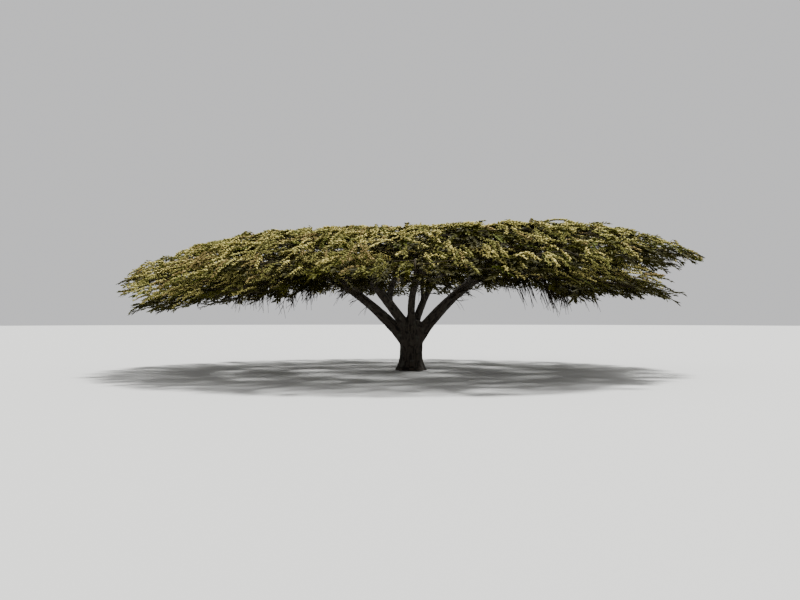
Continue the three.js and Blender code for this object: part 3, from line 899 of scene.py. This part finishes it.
# THE BARE TWIGS UNDER THE CROWN
# In the shade under the leaves the boughs carry wiry twigs that have lost theirs. They leave the
# boughs by turns and fork into finer ones, and under the lowest shelves they hang in fans.
BARE = {"root": 0.014, "tip": 0.006, "rings": 6, "sides": 4, "every": 0.095, "first": 0.9}
BARE_LENGTH = (0.5, 1.1)
BARE_NEAR_TRUNK = 0.7
BARE_UNDER_TOP = 0.05
BARE_WAY = {"along": (0.5, 1.1), "aside": (0.5, 1), "up": (-0.5, 0.7)}
BARE_END = {"outward": (0, 0.8), "up": (-0.9, 0.3)}
BARE_FORK = {"root": 0.009, "tip": 0.004, "rings": 3, "sides": 3, "each": 5}
BARE_FORK_AT = (0.3, 0.98)
BARE_FORK_WAY = {"aside": (-1, 1), "up": (-0.9, 0.5), "drops": (0, 0.7)}
BARE_FORK_LENGTH = (0.2, 0.42)
BARE_WAVE = {"height": 0.03, "turns": (5, 9), "begins": (0, 6)}
HANGING = {"root": 0.019, "tip": 0.007, "rings": 5, "sides": 4}
HANGING_WAY = {"from": 0.4, "along": 0.6, "aside": 0.55, "sinks": 0.3}
HANGING_DROP = (0.6, 1.5)
HANGING_LENGTH = (0.32, 0.86)
# The number of twigs that hang under each shelf of the skirt, by its azimuth in degrees.
HANGING_UNDER = {163: 18, 198: 28, 231: 24, 317: 26, 349: 18, 20: 18}

dice = np.random.default_rng(SEED + 100)
bare = []
hanging = []
forks = []


def swung(base, leaving, ending, length, rings):
    """A line that leaves its base one way and swings to another."""
    t = np.linspace(0, 1, rings)[:, None]
    return base + (leaving * t + (ending - leaving) * t**2 / 2) * length


def grow_forks(line, side):
    """The finer twigs into which a bare twig forks."""
    for _ in range(BARE_FORK["each"]):
        place = dice.uniform(*BARE_FORK_AT)
        start = along_line(line, place)
        out = line_way(line, place) + side * dice.uniform(*BARE_FORK_WAY["aside"])
        out = unit(out + UP * dice.uniform(*BARE_FORK_WAY["up"]))
        drop = unit(out - UP * dice.uniform(*BARE_FORK_WAY["drops"]))
        forks.append(swung(start, out, drop, dice.uniform(*BARE_FORK_LENGTH), BARE_FORK["rings"]))


for bough in boughs:
    length = line_length(bough["line"])
    for i, run in enumerate(np.arange(BARE["first"], length, BARE["every"])):
        at = run / length
        way = line_way(bough["line"], at)
        base = along_line(bough["line"], at)
        side = unit(np.cross(UP, way)) * (1 if i % 2 else -1)
        leaving = way * dice.uniform(*BARE_WAY["along"]) + side * dice.uniform(*BARE_WAY["aside"])
        leaving = unit(leaving + UP * dice.uniform(*BARE_WAY["up"]))
        ending = leaving + level(base) * dice.uniform(*BARE_END["outward"])
        ending = unit(ending + UP * dice.uniform(*BARE_END["up"]))
        size = dice.uniform(*BARE_LENGTH) * mix(BARE_NEAR_TRUNK, 1, at)
        t = np.linspace(0, 1, BARE["rings"])[:, None]
        turned = t * dice.uniform(*BARE_WAVE["turns"]) + dice.uniform(*BARE_WAVE["begins"])
        wave = np.sin(turned) * t * BARE_WAVE["height"]
        line = swung(base, leaving, ending, size, BARE["rings"]) + side * wave
        if line[:, 2].max() > crown_top(*place_of(line[-1])) - BARE_UNDER_TOP:
            continue
        bare.append(line)
        grow_forks(line, side)

for azimuth, count in HANGING_UNDER.items():
    bough = next(bough for bough in boughs if bough["name"] == f"skirt_{azimuth:03d}")
    for at in dice.uniform(HANGING_WAY["from"], 1, count):
        way = line_way(bough["line"], at)
        side = unit(np.cross(UP, way))
        aside = side * dice.uniform(-1, 1) * HANGING_WAY["aside"]
        leaving = unit(way * HANGING_WAY["along"] + aside - UP * dice.uniform(*HANGING_DROP))
        ending = unit(leaving - UP * HANGING_WAY["sinks"])
        base = along_line(bough["line"], at)
        line = swung(base, leaving, ending, dice.uniform(*HANGING_LENGTH), HANGING["rings"])
        hanging.append(line)
        grow_forks(line, side)

points, faces = merged([
    twig_tubes(np.array(bare), tapered(BARE), BARE["sides"]),
    twig_tubes(np.array(hanging), tapered(HANGING), HANGING["sides"]),
    twig_tubes(np.array(forks), tapered(BARE_FORK), BARE_FORK["sides"]),
])
new_piece("bare_twigs", joined_mesh("bare_twigs", points, faces), young_bark)


# THE LEAVES
# Each twig carries pairs of leaves, oblong, folded a little along the middle and held out to the
# sides. One leaf stands for a whole feathered leaf of the real tree, in the dull olive greens of
# the dry season, dealt out sprig by sprig. Their shaded tone is painted shade: it goes on low twigs
# with little blossom and where blossom is scarce, and is kept off where blossom is rich.
LEAF = {"length": (0.09, 0.14), "width": 0.29, "fold": 0.4, "in_shade": 1.5}
LEAF_WAY = {"forward": (0.9, 2.0), "up": (-0.45, 0.5), "tilt": (-0.6, 0.6)}
LEAF_AT = {"first": 0.08, "last": 1, "shift": (-0.03, 0.03)}
LEAF_PAIRS = {"in_blossom": 8, "green": 13}
LEAF_SIZE = {"in_blossom": 0.8, "green": 1.0}
LEAF_OUTLINE = [
    (0, 0, 0),
    (0.32, 0.5, 1),
    (0.74, 0.42, 0.85),
    (1, 0, 0),
    (0.74, -0.42, 0.85),
    (0.32, -0.5, 1),
]
LEAF_FACES = [(0, 3, 2, 1), (0, 5, 4, 3)]
# The shaded tone is painted shade, a darker copy of the olive, dealt out with the others.
LEAF_TONES = {
    "shaded": (0.028, 0.026, 0.003),
    "olive": (0.062, 0.062, 0.006),
    "green": (0.078, 0.092, 0.011),
    "yellowed": (0.13, 0.125, 0.034),
}
LEAF_SHARES = (0.25, 0.4, 0.22, 0.13)
PATCH = 1.3
BLOOM_CHANCE = {"sprig": 0.6, "twig": 0.4}
BLOOM_VARIES = {"by_patch": 1.4, "by_lift": 1.1, "from": 0.1, "least": 0.02, "most": 0.95}
PAINTED_LEAF_SHADE = {"under": 0.1, "low": -0.3, "low_under": 0.55}
PAINTED_SHADE_BELOW_BLOOM = 0.4
PAINTED_LIGHT_ABOVE_BLOOM = 0.75
OWN_TONE = {"leaves": 0.45, "blossom": 0.4}


def plain_finishes(kind, tones, roughness):
    """A plain soft finish for each tone."""
    finishes = []
    for name, colour in tones.items():
        material, _, _, shader = rough_finish(f"{kind}_{name}", roughness, 0.03)
        shader.inputs["Base Color"].default_value = (*colour, 1)
        finishes.append(material)
    return finishes


def spread_on(twigs, spread, count, dice):
    """Places along every twig, even but for small shifts, and the twig's directions there."""
    u = np.linspace(spread["first"], spread["last"], count)
    u = u + dice.uniform(*spread["shift"], (len(twigs["size"]), count))
    return twig_points(twigs, u), twig_ways(twigs, u)


def copies(outline, faces, places, along, across, upward):
    """The points and faces of many like shapes, each laid along its own three directions."""
    outline = np.array(outline, float)
    axes = (along, across, upward)
    points = places[:, None] + sum(outline[None, :, k, None] * axes[k][:, None] for k in range(3))
    numbers = np.array(faces)[None] + np.arange(len(places))[:, None, None] * len(outline)
    return points.reshape(-1, 3), numbers.reshape(len(places) * len(faces), -1)


def dealt(twigs, shares, own, dice):
    """A tone for every twig: that of its sprig, or for some twigs one of their own."""
    sprig = np.unique(twigs["sprig"], return_inverse=True)[1]
    shared = dice.choice(len(shares), sprig.max() + 1, p=shares)[sprig]
    odd = dice.random(len(sprig)) < own
    return np.where(odd, dice.choice(len(shares), len(sprig), p=shares), shared)


def toned_piece(name, mesh, tones, finishes, names):
    """A piece of foliage whose faces take their finishes by number."""
    piece = new_piece(name, mesh, finishes[0])
    for finish in finishes[1:]:
        mesh.materials.append(finish)
    mesh.polygons.foreach_set("material_index", tones.astype(np.int32))
    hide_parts(*names)


leaf_finishes = plain_finishes("leaf", LEAF_TONES, 0.6)
for group, (twigs, names) in grouped.items():
    dice = np.random.default_rng(SEED + 200 + GROUPS.index(group))
    patch = patchwork(twigs["base"][:, 0] / PATCH + 40, twigs["base"][:, 1] / PATCH + 40, 256, SEED)
    likely = twigs["bloom"] + BLOOM_VARIES["by_patch"] * (patch - 0.5)
    likely = likely + BLOOM_VARIES["by_lift"] * (twigs["lift"] - BLOOM_VARIES["from"])
    sprig = np.unique(twigs["sprig"], return_inverse=True)[1]
    chance = BLOOM_CHANCE["sprig"] * dice.random(sprig.max() + 1)[sprig]
    chance = chance + BLOOM_CHANCE["twig"] * dice.random(len(sprig))
    within = np.clip(likely, BLOOM_VARIES["least"], BLOOM_VARIES["most"])
    twigs["in_blossom"] = (chance < within) | twigs["stray"]
    # Painted shade: leaves take only the shaded or olive tones where blossom is scarce, and never
    # the shaded tone where it is rich, so the blossoming parts look sunlit. Where there is next to
    # none, and on low twigs with little, all take the shaded tone.
    tone = dealt(twigs, LEAF_SHARES, OWN_TONE["leaves"], dice)
    tone = np.where(likely < PAINTED_SHADE_BELOW_BLOOM, np.minimum(tone, 1), tone)
    tone = np.where(likely > PAINTED_LIGHT_ABOVE_BLOOM, np.maximum(tone, 1), tone)
    low = (twigs["lift"] < PAINTED_LEAF_SHADE["low"]) & (likely < PAINTED_LEAF_SHADE["low_under"])
    tone = np.where(low | (likely < PAINTED_LEAF_SHADE["under"]), 0, tone)
    parts = []
    tones = []
    for state, pairs in LEAF_PAIRS.items():
        chosen = twigs["in_blossom"] == (state == "in_blossom")
        bearing = {key: value[chosen] for key, value in twigs.items()}
        places, ways = spread_on(bearing, LEAF_AT, pairs, dice)
        places = np.repeat(places, 2, axis=1).reshape(-1, 3)
        ways = np.repeat(ways, 2, axis=1).reshape(-1, 3)
        total = len(places)
        hand = np.tile([1, -1], total // 2)[:, None]
        side = unit(np.cross(UP, ways))
        forward = dice.uniform(*LEAF_WAY["forward"], total)[:, None]
        up = dice.uniform(*LEAF_WAY["up"], total)[:, None]
        along = unit(ways * forward + side * hand + UP * up)
        tilt = dice.uniform(*LEAF_WAY["tilt"], total)[:, None]
        normal = unit(np.cross(ways, side) + side * hand * tilt)
        across = unit(np.cross(normal, along))
        raised = np.cross(along, across)
        shade = np.repeat(np.where(bearing["lift"] < 0, LEAF["in_shade"], 1), pairs * 2)[:, None]
        length = dice.uniform(*LEAF["length"], total)[:, None] * LEAF_SIZE[state] * shade
        width = length * LEAF["width"]
        fold = raised * width * LEAF["fold"] / 2
        parts.append(copies(LEAF_OUTLINE, LEAF_FACES, places, along * length, across * width, fold))
        tones.append(np.repeat(tone[chosen], pairs * 2 * len(LEAF_FACES)))
    points, faces = merged(parts)
    tones = np.concatenate(tones)
    mesh = joined_mesh(f"leaves_{group}", points, faces)
    toned_piece(f"leaves_{group}", mesh, tones, leaf_finishes, names)
    mesh.shade_flat()


# THE BLOSSOM
# Pale cream spikes crowd the top and sides of most twigs, so that whole sprigs turn pale and furry.
# They are small fluffy bottle brushes, and come out sprig by sprig: some are full out, some in
# greenish bud and some going over to straw.
SPIKE = {"length": (0.075, 0.11), "width": (0.036, 0.05)}
SPIKE_WAY = {"roll": (-1.7, 1.7), "forward": (0.8, 1.8), "lean": 0.3}
SPIKE_AT = {"first": 0.04, "last": 0.98, "shift": (-0.025, 0.025)}
SPIKES = 18
BLOSSOM_TONES = {
    "cream": (0.55, 0.48, 0.165),
    "pale": (0.4, 0.36, 0.12),
    "bud": (0.22, 0.21, 0.062),
    "straw": (0.3, 0.23, 0.09),
}
BLOSSOM_SHARES = (0.28, 0.34, 0.26, 0.12)
SPIKE_OUTLINE = [(0, 0, 0), (0.6, 0.5, 0), (0.6, -0.25, 0.43), (0.6, -0.25, -0.43), (1, 0, 0)]
SPIKE_FACES = [(0, 2, 1), (0, 3, 2), (0, 1, 3), (4, 1, 2), (4, 2, 3), (4, 3, 1)]

blossom_finishes = plain_finishes("blossom", BLOSSOM_TONES, 0.8)
for group, (twigs, names) in grouped.items():
    dice = np.random.default_rng(SEED + 300 + GROUPS.index(group))
    bearing = {key: value[twigs["in_blossom"]] for key, value in twigs.items()}
    places, ways = spread_on(bearing, SPIKE_AT, SPIKES, dice)
    places = places.reshape(-1, 3)
    ways = ways.reshape(-1, 3)
    total = len(places)
    side = unit(np.cross(UP, ways))
    roll = dice.uniform(*SPIKE_WAY["roll"], total)[:, None]
    forward = ways * dice.uniform(*SPIKE_WAY["forward"], total)[:, None]
    along = unit(np.cross(ways, side) * np.cos(roll) + side * np.sin(roll) + forward)
    across = unit(np.cross(along, ways + side * SPIKE_WAY["lean"]))
    raised = np.cross(along, across)
    length = dice.uniform(*SPIKE["length"], total)[:, None]
    width = dice.uniform(*SPIKE["width"], total)[:, None]
    axes = (along * length, across * width, raised * width)
    points, faces = copies(SPIKE_OUTLINE, SPIKE_FACES, places, *axes)
    tone = dealt(bearing, BLOSSOM_SHARES, OWN_TONE["blossom"], dice)
    tones = np.repeat(tone, SPIKES * len(SPIKE_FACES))
    mesh = joined_mesh(f"blossom_{group}", points, faces)
    toned_piece(f"blossom_{group}", mesh, tones, blossom_finishes, names)


# THE STUDIO
# A plain pale floor on level ground, with soft light from above as under a thin cloud, and a
# camera at the height of the eye, where the photographed view was taken from.
FLOOR_REACH = 120.0
FLOOR_COLOUR = (0.4, 0.4, 0.385)
SKY_COLOUR = (0.9, 0.9, 0.91)
SKY_STRENGTH = 0.8
KEY = {"turn": (-20, 15, 0), "angle": 12, "energy": 11.6}
VIEW = {"place": (-0.32, -25.5, 1.6), "pitch": 0.98, "lens": 39.5, "sensor": 36.0}

shape = bmesh.new()
bmesh.ops.create_circle(shape, cap_ends=True, segments=96, radius=FLOOR_REACH)
mesh = bpy.data.meshes.new("floor")
shape.to_mesh(mesh)
shape.free()
plain, _, _, shader = rough_finish("plain_floor", 0.95, 0.5)
shader.inputs["Base Color"].default_value = (*FLOOR_COLOUR, 1)
mesh.materials.append(plain)
new_object("floor", mesh)

sky = bpy.data.worlds.new("pale_sky")
sky.use_nodes = True
glow = sky.node_tree.nodes["Background"].inputs
glow["Color"].default_value = (*SKY_COLOUR, 1)
glow["Strength"].default_value = SKY_STRENGTH
bpy.context.scene.world = sky

sun = bpy.data.lights.new("key", "SUN")
sun.energy = KEY["energy"]
sun.angle = math.radians(KEY["angle"])
key = new_object("key", sun)
key.rotation_euler = [math.radians(turn) for turn in KEY["turn"]]

lens = bpy.data.cameras.new("view")
lens.lens = VIEW["lens"]
lens.sensor_width = VIEW["sensor"]
lens.clip_end = 400
camera = new_object("view", lens)
camera.location = VIEW["place"]
camera.rotation_euler = (math.radians(90 + VIEW["pitch"]), 0, 0)
bpy.context.scene.camera = camera
